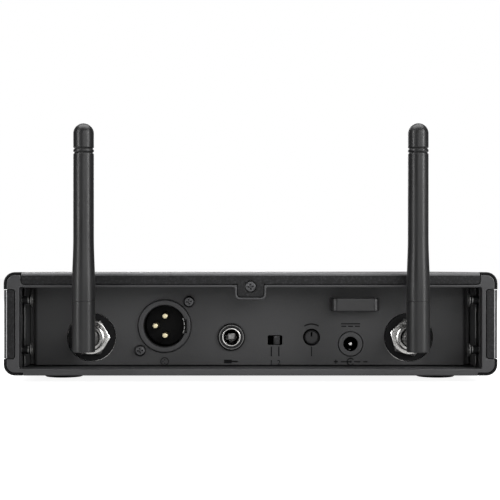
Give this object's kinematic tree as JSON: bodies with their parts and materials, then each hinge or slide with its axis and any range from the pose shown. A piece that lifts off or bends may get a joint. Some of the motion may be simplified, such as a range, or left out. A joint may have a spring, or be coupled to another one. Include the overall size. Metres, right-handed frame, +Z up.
{
  "type": "wireless receiver unit",
  "caption": "Half-rack wireless audio receiver with a recessed socket panel, swivel rubber antennas, sheet covers in moulded end frames and a display fascia.",
  "frame": {"origin": "on the surface that the feet stand on, under the centre of the bounding box", "axes": "+X along the width, +Y towards the socket side and the antennas, +Z up; the display faces -Y"},
  "size_m": [0.21, 0.1752, 0.1091],
  "materials": {
    "frame_grey": "satin moulded grey",
    "cover_sheet": "fine textured black powder coat",
    "black_plastic": "satin black",
    "panel_plastic": "fine moulded grain, dark grey",
    "black_screw": "black zinc",
    "foot_rubber": "matte black",
    "socket_grey": "satin dark grey",
    "gold_contact": "pale gold plating",
    "nickel": "bright nickel plating",
    "tinned_steel": "tinned",
    "antenna_rubber": "satin black",
    "lead_jacket": "smooth black",
    "gloss_fascia": "gloss black",
    "smoked_lens": "polished, smoked",
    "circuit_board": "green solder mask",
    "button_plastic": "satin dark grey"
  },
  "bodies": {
    "chassis": {"rear_frame": "frame_grey", "front_frame": "frame_grey", "top_cover": "cover_sheet", "bottom_plate": "cover_sheet", "side_panel_left": "cover_sheet", "side_panel_right": "cover_sheet", "corner_rail_top_left": "black_plastic", "corner_rail_top_right": "black_plastic", "corner_rail_bottom_left": "black_plastic", "corner_rail_bottom_right": "black_plastic", "rear_panel": "panel_plastic", "cable_bridge": "socket_grey", "cover_screw": "black_screw", "side_screw_lower_left": "black_screw", "side_screw_lower_right": "black_screw", "side_screw_upper_left": "black_screw", "side_screw_upper_right": "black_screw", "foot_front_left": "foot_rubber", "foot_front_right": "foot_rubber", "foot_rear_left": "foot_rubber", "foot_rear_right": "foot_rubber", "xlr_shell": "socket_grey", "xlr_insert": "black_plastic", "xlr_pin_1": "gold_contact", "xlr_pin_2": "gold_contact", "xlr_pin_3": "gold_contact", "xlr_screw_upper": "black_screw", "xlr_screw_lower": "black_screw", "jack_body": "black_plastic", "jack_bush": "nickel", "jack_ring_nut": "black_screw", "jack_contact": "tinned_steel", "dc_socket": "socket_grey", "dc_pin": "nickel", "level_switch_body": "tinned_steel", "squelch_pot_body": "black_plastic", "antenna_washer_left": "black_plastic", "antenna_washer_right": "black_plastic", "antenna_nut_left": "nickel", "antenna_nut_right": "nickel", "antenna_bushing_left": "nickel", "antenna_bushing_right": "nickel", "antenna_lead_left": "lead_jacket", "antenna_lead_right": "lead_jacket", "front_fascia": "gloss_fascia", "display_lens": "smoked_lens", "display_module": "tinned_steel", "control_board": "circuit_board", "main_board": "circuit_board", "rf_shield": "tinned_steel"},
    "antenna_left": {"antenna_elbow_left": "antenna_rubber", "antenna_whip_left": "antenna_rubber"},
    "antenna_right": {"antenna_elbow_right": "antenna_rubber", "antenna_whip_right": "antenna_rubber"},
    "level_slider": {"level_switch_slider": "black_plastic"},
    "squelch_control": {"squelch_shaft": "black_plastic"},
    "power_key": {"power_button": "button_plastic"},
    "down_key": {"button_down": "button_plastic"},
    "up_key": {"button_up": "button_plastic"},
    "set_key": {"button_set": "button_plastic"}
  },
  "joints": [
    {"name": "antenna_left_swivel", "type": "hinge", "parent": "chassis", "child": "antenna_left", "pos_m": [-0.0698, 0.08278, 0.0183], "axis": [0, 1, 0], "range_deg": [-90, 45]},
    {"name": "antenna_right_swivel", "type": "hinge", "parent": "chassis", "child": "antenna_right", "pos_m": [0.0698, 0.08278, 0.0183], "axis": [0, 1, 0], "range_deg": [-45, 90]},
    {"name": "level_slide", "type": "slide", "parent": "chassis", "child": "level_slider", "axis": [1, 0, 0], "range_m": [0, 0.0022]},
    {"name": "squelch_turn", "type": "hinge", "parent": "chassis", "child": "squelch_control", "pos_m": [-0.0271, 0.05427, 0.0183], "axis": [0, 1, 0], "range_deg": [-135, 135]},
    {"name": "power_press", "type": "slide", "parent": "chassis", "child": "power_key", "axis": [0, 1, 0], "range_m": [0, 0.0008], "stiffness_N_per_m": 1500},
    {"name": "down_press", "type": "slide", "parent": "chassis", "child": "down_key", "axis": [0, 1, 0], "range_m": [0, 0.0008], "stiffness_N_per_m": 1500},
    {"name": "up_press", "type": "slide", "parent": "chassis", "child": "up_key", "axis": [0, 1, 0], "range_m": [0, 0.0008], "stiffness_N_per_m": 1500},
    {"name": "set_press", "type": "slide", "parent": "chassis", "child": "set_key", "axis": [0, 1, 0], "range_m": [0, 0.0008], "stiffness_N_per_m": 1500}
  ]
}
